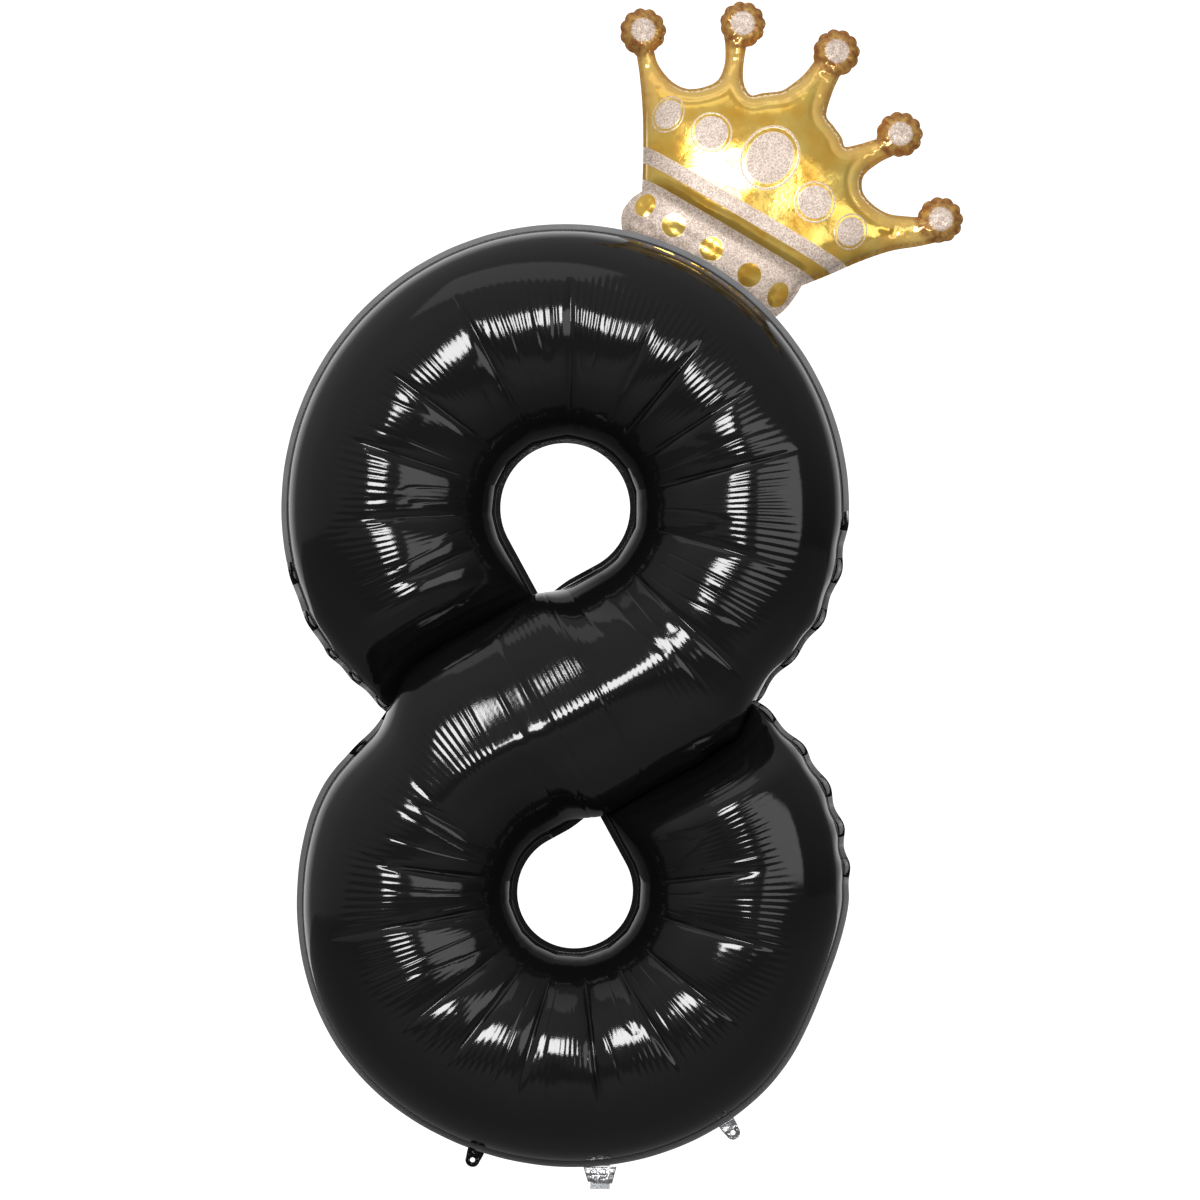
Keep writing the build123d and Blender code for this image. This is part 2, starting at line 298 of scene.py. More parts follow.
def relief(s, t, lobe, outer, end_share, seed):
    """Height of the film above a smooth tube: ribs along the ridge, short folds and slow waves."""
    bundle = ramp(noise(s / 0.030, t * 2.2, seed + 1), -0.45, 0.25)
    wander = 0.6 * noise(s / 0.05, t * 2, seed + 2)
    phase = s / RIB_PITCH + wander + 0.12 * noise(s / 0.011, t * 5, seed + 3)
    wave = 1 - 2 * np.abs(np.sin(math.pi * phase))
    ridge = np.where(lobe == DIAGONAL, 0.46, 0.56)[:, None]
    band = hump(t - ridge + 0.05 * noise(s / 0.03, t, seed + 4), -0.05, 0.07, 0.13)
    faint = 0.22 * hump(t, 0.27, 0.5, 0.1)
    depth = np.where(lobe == DIAGONAL, 0.09 + 0.06 * outer, 0.30)[:, None] * MM
    ribs = depth * (0.25 + 0.75 * bundle) * np.maximum(band, faint) * wave
    fold = 1 - np.abs(noise(s / 0.020 + 0.4 * t, t * 1.6, seed + 6))
    folds = -0.7 * MM * ramp(fold, 0.90, 1.0) * hump(t, 0.2, 0.55, 0.15)
    inner = 0.45 * MM * noise(s / 0.012, t * 5, seed + 7) * (1 - ramp(t, 0.10, 0.28)) * ramp(t, 0.0, 0.05)
    slow = 1.1 * MM * noise(s / 0.09, t * 2.5, seed + 9)
    share = end_share[:, None]
    tuck = 1.8 * MM * noise(share * 6, t * 2.5, seed + 10) * (1 - share)
    pleat = 1.3 * MM * np.cos(share * 34 + 2 * noise(share, t * 3, seed + 11))
    pleat = pleat * hump(share, 0.12, 0.3, 0.12)
    return ribs + folds + inner + slow + tuck + pleat


def film_of_8(name, side, seed, material):
    """One ply of the 8 as a closed shell of film: side is FRONT or BACK."""
    point, way, end_share, bearing, lobe, outer = stations()
    left = np.stack((-way[:, 1], way[:, 0]), 1)
    step = np.hypot(*np.diff(point, axis=0, prepend=point[:1]).T)
    s = np.cumsum(step)[:, None]
    up_diagonal = (point - upper_centre) @ along
    near_diagonal = (lobe == DIAGONAL) | ((lobe == LOWER) & (bearing < 150))
    near_diagonal |= (lobe == UPPER) & (bearing < -30)
    welded = {
        -1: near_diagonal * hump(up_diagonal, -0.185, -0.065, 0.040),
        1: near_diagonal * hump(up_diagonal, -0.100, 0.020, 0.040),
    }

    # Outer face, from the left seam to the right seam
    phi = np.linspace(0, math.pi, COLUMNS + 1)[None, :]
    cos, sin = np.cos(phi), np.sin(phi)
    t = 0.5 + 0.5 * cos * outer[:, None]  # 0 at the hole, 1 at the outer rim
    turned = np.radians(np.nan_to_num(bearing))
    ridge = np.where(np.isfinite(bearing), 9 + 2 * np.cos(turned) ** 2 - 3 * np.cos(turned), 0)
    ridge = blurred(ridge, 60) * MM * outer
    swell = np.where(cos > 0, welded[1][:, None], welded[-1][:, None])
    x = TUBE_HALF_WIDTH * cos + ridge[:, None] * sin**2
    x = x + np.sign(cos) * SWELL * swell * np.abs(2 * sin * cos) ** 0.7
    lift = np.sin(end_share * math.pi / 2)[:, None] ** 0.75
    taut = (lobe == DIAGONAL) | ((lobe == LOWER) & (bearing < 142))
    on_diagonal = blurred(taut, 40)[:, None]
    y = TUBE_HALF_DEPTH * sin ** (1 + 0.2 * on_diagonal) * lift
    y = y + RIDGE_HEIGHT * on_diagonal * np.exp(-(((x - RIDGE_OFFSET) / RIDGE_WIDTH) ** 2))
    groove, chord = creases(bearing, t, lobe, seed if side > 0 else 0)
    height = (groove + relief(s, t, lobe, outer, end_share, seed)) * np.sqrt(sin) * lift
    nx, ny = TUBE_HALF_DEPTH * cos, TUBE_HALF_WIDTH * sin
    size = np.hypot(nx, ny)
    x, y = x + height * nx / size, y + height * ny / size
    pull = hump(t, 0.10, 0.45, 0.22)

    # Seam margins, flat and thin, then the mating face and a plain lining inside
    film = 0.35 * MM
    columns, one = [], np.ones(len(s))

    def column(cx, cy, ct, cp, group):
        columns.append((cx * one, cy * one, ct * one, cp * one, group))

    margin = {1: SEAM * (1 - 0.8 * welded[1]), -1: SEAM * (1 - 0.8 * welded[-1])}
    for share in (1.0, 0.35):
        column(TUBE_HALF_WIDTH + share * margin[1], film, t[:, 0] + 0.05 * outer, 0, "margin")
    for j in range(COLUMNS + 1):
        column(x[:, j], np.maximum(y[:, j], film), t[:, j], pull[:, j], "outer")
    for share in (0.35, 1.0):
        column(-TUBE_HALF_WIDTH - share * margin[-1], film, t[:, -1] - 0.05 * outer, 0, "margin")
    column(-TUBE_HALF_WIDTH - margin[-1], 0, t[:, -1], 0, "mating")
    for angle in np.linspace(math.pi, 0, 9):
        inset = TUBE_HALF_WIDTH - 3 * MM - LINING * math.sin(angle)
        depth = (TUBE_HALF_DEPTH - LINING) * math.sin(angle) * lift[:, 0]
        column(inset * math.cos(angle), depth, 0.5, 0, "lining")
    column(TUBE_HALF_WIDTH + margin[1], 0, t[:, 0], 0, "mating")
    x, y, t, pull = (np.stack([c[k] for c in columns], 1) for k in range(4))
    groups = [c[4] for c in columns]

    # Flutes where the outer rim has gathered: on both lobes beside the right notch, less by the left one
    rim = ramp(np.abs(x), 0.86 * TUBE_HALF_WIDTH, TUBE_HALF_WIDTH + SEAM) * ramp(t, 0.6, 0.95)
    right = np.where(lobe == UPPER, hump(bearing, -62, -12, 14), hump(bearing, 368, 410, 12))
    left_side = np.where(lobe == UPPER, hump(bearing, 196, 215, 8), hump(bearing, 118, 145, 8))
    gathered = np.nan_to_num(0.03 + 0.97 * right + 0.35 * left_side, nan=0.03)
    gathered = np.where(end_share < 1, np.where(lobe == UPPER, 0.45, 0.9), gathered)[:, None]
    flute = np.sin(2 * math.pi * s / FLUTE_PITCH + 2.0 * noise(s / 0.08, s * 0, 3))
    ripple = flute * gathered * rim
    mate = -side * 3.6 * MM * ripple
    x = x - np.sign(x) * 4.0 * MM * (0.5 - 0.5 * flute) * gathered * rim

    # Into the plane of the figure. Near a weld the rows stretch to the round of the other lobe.
    other = np.where(lobe == UPPER, LOWER_RING, UPPER_RING)[:, None] + TUBE_HALF_WIDTH
    outward = np.clip(x * outer[:, None], 0, None)
    at_end = (1 - end_share[:, None]) ** 2
    x = x - np.sign(x) * 0.20 * outward * at_end
    stretch = (other - np.sqrt(other**2 - outward**2)) * at_end
    place = point[:, None, :] + left[:, None, :] * x[..., None]
    place = place - across * (stretch * outer[:, None])[..., None]
    centre = np.where((lobe == UPPER)[:, None], upper_centre, lower_centre)[:, None, :]
    drawn = 1 - pull * (1 - chord[:, None])
    place = centre + (place - centre) * drawn[..., None]
    wx, wz = warp(place[..., 0], place[..., 1])
    vertices = np.stack((wx, side * y + mate, wz), -1)
    return shell(name, vertices, s, t, groups, side, material)


def shell(name, vertices, s, t, groups, side, material):
    """Closed mesh from rows of closed profiles. Its UVs are the way along the tube and the way across."""
    rows, columns = vertices.shape[:2]
    index = np.arange(rows * columns).reshape(rows, columns)
    a, b = index[:-1], index[1:]
    quads = np.stack((a, np.roll(a, -1, 1), np.roll(b, -1, 1), b), -1).reshape(-1, 4)
    caps = [index[0, ::-1], index[-1]]
    if side > 0:
        quads = quads[:, ::-1]
        caps = [c[::-1] for c in caps]
    mesh = bpy.data.meshes.new(name)
    mesh.vertices.add(rows * columns)
    mesh.vertices.foreach_set("co", vertices.astype(np.float32).ravel())
    corners = np.concatenate([quads.ravel(), *caps])
    sizes = np.concatenate([np.full(len(quads), 4), [columns, columns]])
    mesh.loops.add(len(corners))
    mesh.loops.foreach_set("vertex_index", corners.astype(np.int32))
    mesh.polygons.add(len(sizes))
    mesh.polygons.foreach_set("loop_start", np.concatenate([[0], np.cumsum(sizes)[:-1]]).astype(np.int32))
    mesh.update(calc_edges=True)
    film = mesh.uv_layers.new(name="film")
    uv = np.stack((np.broadcast_to(s, t.shape), t), -1).reshape(-1, 2)
    film.data.foreach_set("uv", uv[corners].astype(np.float32).ravel())
    mesh.validate()
    mesh.shade_smooth()
    sharp = np.array([g in ("margin", "mating") for g in groups])
    ends = np.empty(2 * len(mesh.edges), dtype=np.int32)
    mesh.edges.foreach_get("vertices", ends)
    ends = ends.reshape(-1, 2) % columns
    flags = (ends[:, 0] == ends[:, 1]) & sharp[ends[:, 0]]
    mesh.attributes.new("sharp_edge", "BOOLEAN", "EDGE").data.foreach_set("value", flags)
    piece = bpy.data.objects.new(name, mesh)
    bpy.context.collection.objects.link(piece)
    mesh.materials.append(material)
    return piece


# ---------------------------------------------------------------- the crown
def curve(points):
    """Points about 2 mm apart on a smooth curve through the given ones, without the last."""
    p = np.array(points, dtype=float)
    p = np.vstack((2 * p[0] - p[1], p, 2 * p[-1] - p[-2]))
    out = []
    for a, b, c, d in zip(p, p[1:], p[2:], p[3:]):
        t = np.linspace(0, 1, max(2, round(np.hypot(*(c - b)) / 2)), endpoint=False)[:, None]
        square, cube = a - 2.5 * b + 2 * c - d / 2, 1.5 * (b - c) + (d - a) / 2
        out.append(b + (c - a) * t / 2 + square * t**2 + cube * t**3)
    return np.vstack(out)


def knob_arc(centre, start, finish):
    """Scalloped edge of a knob, clockwise from the edge point start to the edge point finish."""
    out = [np.subtract(point, centre) for point in (start, finish)]
    first, last = (math.atan2(v, u) for u, v in out)
    last -= 2 * math.pi * (last > first)
    share = np.linspace(0, 1, round((first - last) * KNOB_RADIUS / 1.4), endpoint=False)
    angle = first + (last - first) * share
    plain = np.hypot(*out[0]) * (1 - share) + np.hypot(*out[1]) * share
    scallop = KNOB_RADIUS - 1.5 + 2.2 * np.abs(np.cos(KNOB_SCALLOPS * angle / 2))
    full = np.sin(math.pi * share) ** 0.35
    radius = plain * (1 - full) + scallop * full
    return np.array(centre) + radius[:, None] * np.stack((np.cos(angle), np.sin(angle)), 1)


def crown_outline():
    """Closed outline of the crown's chamber, clockwise from the left end of its base."""
    loop = []
    for place, runs in enumerate(CROWN_EDGES):
        loop += [curve(run) for run in runs]
        if place < len(KNOBS):
            loop.append(knob_arc(KNOBS[place], runs[-1][-1], CROWN_EDGES[place + 1][0][0]))
    loop.append(curve((CROWN_EDGES[-1][-1][-1], CROWN_EDGES[0][0][0])))
    return np.vstack(loop)


def inside(outline, points):
    """Which points lie within the outline."""
    result = np.zeros(len(points), dtype=bool)
    for (ax, ay), (bx, by) in zip(outline, np.roll(outline, -1, 0)):
        if ay != by:
            spans = (points[:, 1] < ay) != (points[:, 1] < by)
            result ^= spans & (points[:, 0] < ax + (points[:, 1] - ay) * (bx - ax) / (by - ay))
    return result


def nearest(outline, points):
    """Distance from each point to the outline, and which outline point is nearest."""
    distance, place = np.full(len(points), np.inf), np.zeros(len(points), dtype=int)
    for i, corner in enumerate(outline):
        d = np.hypot(*(points - corner).T)
        closer = d < distance
        distance[closer], place[closer] = d[closer], i
    return distance, place


def pressure_depth(points, triangles, border):
    """Depth of a pillow blown up from a flat outline: the root of the sagging of a pressed membrane."""
    count = len(points)
    weight, area = np.zeros(0), np.zeros(count)
    start, end = np.zeros(0, dtype=int), np.zeros(0, dtype=int)
    for k in range(3):
        a, b, c = (triangles[:, (k + i) % 3] for i in range(3))
        to_a, to_b = points[a] - points[c], points[b] - points[c]
        twice = np.abs(to_a[:, 0] * to_b[:, 1] - to_a[:, 1] * to_b[:, 0])
        weight = np.concatenate((weight, (to_a * to_b).sum(1) / twice / 2))
        start, end = np.concatenate((start, a)), np.concatenate((end, b))
        area += np.bincount(c, twice / 6, count)
    free = np.ones(count)
    free[border] = 0

    def stiffness(x):
        pull = weight * (x[start] - x[end])
        return free * (np.bincount(start, pull, count) - np.bincount(end, pull, count)) + (1 - free) * x

    sag, residual = np.zeros(count), area * free
    direction, energy = residual.copy(), residual @ residual
    for _ in range(500):
        image = stiffness(direction)
        step = energy / (direction @ image)
        sag += step * direction
        residual -= step * image
        energy, last = residual @ residual, energy
        direction = residual + energy / last * direction
        if energy < 1e-10 * area @ area:
            break
    return np.sqrt(2 * np.clip(sag, 0, None))


def crown_height(points, depth, distance, arc, seed):
    """Depth of the crown's film: pinched at the waist, puckered on its seams, crumpled in its prongs."""
    u, v = points.T
    height = CROWN_HALF_DEPTH * np.tanh(CROWN_FULLNESS * depth / CROWN_HALF_DEPTH)
    height *= 1 - 0.30 * np.exp(-(((v - 3) / 11) ** 2)) - 0.25 * (v < 3) * ramp(-v, -3, 16)
    rise = distance / (distance + 3)
    pucker = np.sin(2 * math.pi * arc / PUCKER_PITCH + 2.5 * noise(arc / 23, arc * 0, seed))
    strength = 0.5 + 0.5 * noise(arc / 31, arc * 0, seed + 1)
    height += PUCKER_DEPTH * pucker * rise * np.exp(-distance / 10) * strength
    slender = 1 - ramp(height, 12, 24)
    height += CRUMPLE_DEPTH * slender * rise * noise(u / 6.5, v / 6.5, seed + 2)
    height += SWAY_DEPTH * rise * noise(u / 26, v / 26, seed + 3)
    upper = ramp(v - 0.25 * np.abs(u), 45, 70)
    height -= RIM_GROOVE * upper * np.exp(-(((distance - RIM_BAND) / 2.2) ** 2)) * (1 - slender)
    for knob in KNOBS:
        reach = np.hypot(u - knob[0], v - knob[1])
        around = np.arctan2(v - knob[1], u - knob[0])
        crumple = np.cos(KNOB_SCALLOPS * around) * np.exp(-(((reach - 14) / 4) ** 2))
        height += 1.3 * rise * crumple
    return np.maximum(height, 0.4)


def crown_ply(name, side, seed, material):
    """One ply of the crown as a closed shell: side is FRONT or BACK."""
    outline = crown_outline()
    low, high = outline.min(0), outline.max(0)
    pitch = CROWN_MESH
    across_grid, up_grid = np.arange(low[0], high[0], pitch), np.arange(low[1], high[1], 0.866 * pitch)
    grid_u, grid_v = np.meshgrid(across_grid, up_grid)
    grid_u[1::2] += pitch / 2
    grid = np.stack((grid_u.ravel(), grid_v.ravel()), 1)
    grid = grid[inside(outline, grid)]
    grid = grid[nearest(outline, grid)[0] > 0.6 * pitch]
    corners = [Vector(p) for p in np.vstack((outline, grid))]
    found, _, faces, _, _, _ = delaunay_2d_cdt(corners, [], [list(range(len(outline)))], 1, 1e-5)
    points = np.array([tuple(p) for p in found])
    triangles = np.array([tuple(f) for f in faces])
    edge_ab, edge_ac = (points[triangles[:, k]] - points[triangles[:, 0]] for k in (1, 2))
    clockwise = edge_ab[:, 0] * edge_ac[:, 1] < edge_ab[:, 1] * edge_ac[:, 0]
    triangles[clockwise] = triangles[clockwise][:, ::-1]

    distance, place = nearest(outline, points)
    arc = np.concatenate(([0], np.cumsum(np.hypot(*np.diff(outline, axis=0).T))))[place]
    half_edges = {(a, b) for t in triangles.tolist() for a, b in zip(t, t[1:] + t[:1])}
    following = {a: b for a, b in half_edges if (b, a) not in half_edges}
    border = [next(iter(following))]
    while following[border[-1]] != border[0]:
        border.append(following[border[-1]])
    border = np.array(border)
    height = crown_height(points, pressure_depth(points, triangles, border), distance, arc, seed)
    height[border] = 0.4

    # Flange: the seam itself, rippled a little
    tangent = points[np.roll(border, -1)] - points[np.roll(border, 1)]
    outward = np.stack((tangent[:, 1], -tangent[:, 0]), 1) / np.hypot(*tangent.T)[:, None]
    flange = points[border] + CROWN_SEAM * outward
    ripple = 0.5 * np.sin(2 * math.pi * arc[border] / PUCKER_PITCH)
    lining = np.maximum(0.93 * height - 0.7, 0.05)
    lining[border] = 0.05
    flat = np.vstack((points, flange, flange, points))
    depth = np.concatenate((height, 0.4 - side * ripple, 0.05 - side * ripple, lining))

    count, ring = len(points), np.arange(len(border))
    after = np.roll(ring, -1)
    front_flange, back_flange = count + ring, count + len(ring) + ring
    inner_border = count + 2 * len(ring) + border
    bands = ((border, front_flange), (front_flange, back_flange), (back_flange, inner_border))
    faces = [triangles, triangles[:, ::-1] + count + 2 * len(ring)]
    for near, far in bands:
        faces.append(np.stack((near[ring], far[ring], far[after]), 1))
        faces.append(np.stack((near[ring], far[after], near[after]), 1))
    faces = np.concatenate(faces)
    if side > 0:
        faces = faces[:, ::-1]

    position = waist + (np.outer(flat[:, 0], crown_right) + np.outer(flat[:, 1], crown_up)) * MM
    position[:, 1] += side * depth * MM
    mesh = bpy.data.meshes.new(name)
    mesh.from_pydata(position.tolist(), [], faces.tolist())
    edge_distance = np.concatenate((distance, np.zeros(2 * len(ring)), distance))
    along_edge = np.concatenate((arc, arc[border], arc[border], arc))
    loops = faces.ravel()
    for layer, values in (("print", flat), ("edge", np.stack((edge_distance, along_edge), 1))):
        mesh.uv_layers.new(name=layer).data.foreach_set("uv", values[loops].astype(np.float32).ravel())
    mesh.shade_smooth()
    mesh.materials.append(material)
    piece = bpy.data.objects.new(name, mesh)
    bpy.context.collection.objects.link(piece)
    return piece


# ---------------------------------------------------------------- tabs and neck
def flap(name, grid, thickness, closed, material):
    """Thin closed piece of film on a grid of points, whose columns may close into a ring."""
    rows, columns = grid.shape[:2]
    front, back = grid.copy(), grid.copy()
    front[..., 1] -= thickness / 2
    back[..., 1] += thickness / 2
    index = np.arange(rows * columns).reshape(rows, columns)
    other = index + rows * columns
    span = np.arange(columns if closed else columns - 1)
    step = (span + 1) % columns
    faces = []
    for r in range(rows - 1):
        faces.append(np.stack((index[r, span], index[r, step], index[r + 1, step], index[r + 1, span]), 1))
        faces.append(np.stack((other[r, span], other[r + 1, span], other[r + 1, step], other[r, step]), 1))
    for r, turned in ((0, True), (rows - 1, False)):
        side = np.stack((index[r, span], index[r, step], other[r, step], other[r, span]), 1)
        faces.append(side[:, ::-1] if turned else side)
    if not closed:
        for c, turned in ((0, False), (columns - 1, True)):
            side = np.stack((index[:-1, c], index[1:, c], other[1:, c], other[:-1, c]), 1)
            faces.append(side[:, ::-1] if turned else side)
    mesh = bpy.data.meshes.new(name)
    vertices = np.concatenate((front.reshape(-1, 3), back.reshape(-1, 3)))
    mesh.from_pydata(vertices.tolist(), [], np.concatenate(faces).tolist())
    mesh.shade_smooth()
    mesh.materials.append(material)
    piece = bpy.data.objects.new(name, mesh)
    bpy.context.collection.objects.link(piece)
    return piece


def hang_tab(name, hole, fold, lap, seed, material):
    """Crumpled flap of film round its hole, from the fold line on the rim."""
    hole, fold = np.array(hole), np.array(fold)
    out = (hole - fold)[[0, 2]]
    reach = np.hypot(*out)
    out /= reach
    sideways = np.array((out[1], -out[0]))
    angle = np.linspace(0, 2 * math.pi, TAB_COLUMNS, endpoint=False)
    ray = np.stack((np.sin(angle), np.cos(angle)), 1)
    to_fold = np.where(ray[:, 1] < -0.05, (reach + lap) / np.maximum(-ray[:, 1], 0.05), np.inf)
    widening = TAB_END + (TAB_ROOT / 2 - TAB_END) * ramp(-ray[:, 1], 0, 1)
    flank = widening / np.maximum(np.abs(ray[:, 0]), 1e-3)
    edge = np.where(ray[:, 1] > 0, TAB_END, np.minimum(to_fold, np.minimum(flank, 1.25 * reach)))
    share = np.linspace(0, 1, TAB_ROWS)[:, None]
    radius = TAB_HOLE + (edge - TAB_HOLE) * share
    x, y = radius * ray[:, 0], radius * ray[:, 1]
    place = hole[[0, 2]] + x[..., None] * sideways + y[..., None] * out
    loose = ramp(y + reach, 0.5 * MM, 0.8 * reach)
    large, small = noise(x / 0.005, y / 0.005, seed), noise(x / 0.0022, y / 0.0022, seed + 1)
    crumple = loose * (1.3 * large + 0.6 * small) * MM
    return flap(name, np.stack((place[..., 0], crumple, place[..., 1]), -1), TAB_FILM, True, material)


def neck_ply(name, node, side, seed, material):
    """Crumpled ply of the filling neck, opening a little towards its mouth."""
    low, high = (np.array(corner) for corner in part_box(node))
    share = np.linspace(0, 1, NECK_ROWS)[:, None]
    across_share = np.linspace(1, -1, NECK_COLUMNS)[None, :]
    half = (high[0] - low[0]) / 2 * (1 - share * (1 - NECK_MOUTH_SHARE))
    x = across_share * half
    z = high[2] + (low[2] - high[2]) * share * (1 + 0.08 * noise(across_share * 3, share, seed))
    bow = (1 - across_share**2) * share
    large, small = noise(x / 0.004, z / 0.006, seed + 1), noise(x / 0.0018, z / 0.003, seed + 2)
    crumple = np.abs(large) + 0.5 * np.abs(small)
    y = side * (NECK_CLEAR + (2.6 * bow + 1.1 * crumple * ramp(share, 0, 0.4)) * MM)
    return flap(name, np.stack((x + 0 * z, y, z), -1), TAB_FILM / 2, False, material)


# ---------------------------------------------------------------- materials
class Nodes:
    """A node tree, with short calls for the nodes that are used here."""

    def __init__(self, tree):
        self.nodes, self.links = tree.nodes, tree.links

    def feed(self, socket, value):
        if isinstance(value, bpy.types.NodeSocket):
            self.links.new(value, socket)
        else:
            socket.default_value = value

    def math(self, operation, *values, clamp=False):
        node = self.nodes.new("ShaderNodeMath")
        node.operation, node.use_clamp = operation, clamp
        for socket, value in zip(node.inputs, values):
            self.feed(socket, value)
        return node.outputs[0]

    def parts(self, vector):
        node = self.nodes.new("ShaderNodeSeparateXYZ")
        self.links.new(vector, node.inputs[0])
        return node.outputs

    def uv(self, layer):
        node = self.nodes.new("ShaderNodeUVMap")
        node.uv_map = layer
        u, v, _ = self.parts(node.outputs[0])
        return node.outputs[0], u, v

    def place(self):
        return self.nodes.new("ShaderNodeTexCoord").outputs["Object"]

    def noise(self, vector, scale, detail=2.0, roughness=0.5):
        node = self.nodes.new("ShaderNodeTexNoise")
        self.links.new(vector, node.inputs["Vector"])
        node.inputs["Scale"].default_value = scale
        node.inputs["Detail"].default_value = detail
        node.inputs["Roughness"].default_value = roughness
        return node.outputs[0]

    def specks(self, vector, scale):
        node = self.nodes.new("ShaderNodeTexVoronoi")
        self.links.new(vector, node.inputs["Vector"])
        node.inputs["Scale"].default_value = scale
        grey = self.nodes.new("ShaderNodeSeparateColor")
        self.links.new(node.outputs["Color"], grey.inputs[0])
        return grey.outputs[0]

    def span(self, value, low, high, start=0.0, end=1.0):
        node = self.nodes.new("ShaderNodeMapRange")
        for socket, given in zip(node.inputs, (value, low, high, start, end)):
            self.feed(socket, given)
        return node.outputs[0]

    def mix(self, share, first, second):
        node = self.nodes.new("ShaderNodeMix")
        node.data_type = "RGBA"
        for place, value in ((0, share), (6, first), (7, second)):
            self.feed(node.inputs[place], value)
        return node.outputs[2]

    def oval(self, u, v, centre, radii):
        """Distance from an oval's centre, 1 on its edge."""
        du = self.math("DIVIDE", self.math("SUBTRACT", u, centre[0]), radii[0])
        dv = self.math("DIVIDE", self.math("SUBTRACT", v, centre[1]), radii[1])
        squares = [self.math("MULTIPLY", d, d) for d in (du, dv)]
        return self.math("SQRT", self.math("ADD", *squares))

    def within(self, value, limit, softness):
        """1 below the limit, 0 above it."""
        return self.span(value, limit - softness, limit + softness, 1.0, 0.0)


class Shader(Nodes):
    """A material round one Principled surface."""

    def __init__(self, name):
        self.material = bpy.data.materials.new(name)
        self.material.use_nodes = True
        super().__init__(self.material.node_tree)
        self.surface = self.nodes["Principled BSDF"]

    def set(self, **values):
        for name, value in values.items():
            self.feed(self.surface.inputs[name.replace("_", " ")], value)

    def bump(self, height, distance):
        node = self.nodes.new("ShaderNodeBump")
        node.inputs["Distance"].default_value = distance
        self.links.new(height, node.inputs["Height"])
        self.links.new(node.outputs[0], self.surface.inputs["Normal"])


def black_foil():
    """Black ink on metallised film. Its welded seam margin is painted pale grey along the outer rim: a painted
    reflection of the rim's bright edge.
    """
    shader = Shader("black_foil")
    place = shader.place()
    _, _, v = shader.uv("film")
    past_rim = shader.span(v, 1.01, 1.03)
    past_hole = shader.span(v, -0.03, -0.01, 1.0, 0.0)
    margin = shader.math("MAXIMUM", past_rim, past_hole)
    cloud = shader.noise(place, 9.0, 3.0)
    haze = shader.noise(place, 60.0, 4.0, 0.6)
    ink = shader.mix(cloud, (0.0030, 0.0030, 0.0034, 1), (0.0075, 0.0075, 0.0080, 1))
    # Painted reflection: the margin at the outer rim is painted pale grey for the bright edge the rim catches; by
    # the hole the margin stays near black
    margin_with_painted_sheen = shader.mix(past_hole, (0.16, 0.16, 0.165, 1), (0.010, 0.010, 0.011, 1))
    duller_margin = shader.math("MULTIPLY", past_rim, 0.25)
    gloss_from_hole = shader.span(v, 0.04, 0.26, 0.10, 0.45)
    gloss_to_rim = shader.span(v, 0.86, 0.97, 1.0, 0.35)
    shader.set(
        Base_Color=shader.mix(margin, ink, margin_with_painted_sheen),
        Roughness=shader.math("ADD", shader.span(haze, 0.3, 0.7, 0.06, 0.11), duller_margin),
        Specular_IOR_Level=shader.math("MULTIPLY", gloss_from_hole, gloss_to_rim),
    )
    grain = shader.noise(place, 1400.0, 2.0)
    shader.bump(shader.math("ADD", haze, shader.math("MULTIPLY", grain, 0.12)), 0.00012)
    return shader.material


def silver_film():
    """Bare metallised film, crumpled and a little dull."""
    shader = Shader("silver_film")
    place = shader.place()
    cloud, grain = shader.noise(place, 160.0, 4.0), shader.noise(place, 900.0, 3.0)
    shader.set(
        Base_Color=shader.mix(cloud, (0.16, 0.16, 0.165, 1), (0.50, 0.50, 0.52, 1)),
        Metallic=0.85,
        Roughness=shader.span(grain, 0.3, 0.7, 0.18, 0.40),
    )
    shader.bump(shader.math("ADD", cloud, shader.math("MULTIPLY", grain, 0.3)), 0.0006)
    return shader.material


def clear_film():
    """Clear polythene of the valves."""
    shader = Shader("clear_film")
    place = shader.place()
    cloud, grain = shader.noise(place, 90.0, 3.0), shader.noise(place, 700.0, 3.0)
    shader.set(
        Base_Color=shader.mix(cloud, (0.80, 0.82, 0.84, 1), (0.95, 0.96, 0.97, 1)),
        Roughness=shader.span(grain, 0.3, 0.7, 0.10, 0.32),
        Transmission_Weight=0.7,
        IOR=1.3,
    )
    shader.bump(cloud, 0.0005)
    return shader.material


def adhesive():
    """Clear sticky dots, faintly yellow."""
    shader = Shader("adhesive")
    place = shader.place()
    cloud, grain = shader.noise(place, 250.0, 3.0), shader.noise(place, 1500.0, 2.0)
    shader.set(
        Base_Color=shader.mix(cloud, (0.80, 0.76, 0.62, 1), (0.92, 0.90, 0.82, 1)),
        Roughness=shader.span(grain, 0.3, 0.7, 0.12, 0.30),
        Transmission_Weight=0.5,
        Subsurface_Weight=0.2,
    )
    shader.bump(cloud, 0.0002)
    return shader.material


def gold_film():
    """Plain gold film of the crown's tail."""
    shader = Shader("gold_film")
    place = shader.place()
    cloud, grain = shader.noise(place, 70.0, 4.0), shader.noise(place, 900.0, 3.0)
    shader.set(
        Base_Color=shader.mix(cloud, GOLD, ORANGE_GOLD),
        Metallic=0.8,
        Roughness=shader.span(grain, 0.3, 0.7, 0.12, 0.28),
    )
    shader.bump(cloud, 0.0006)
    return shader.material


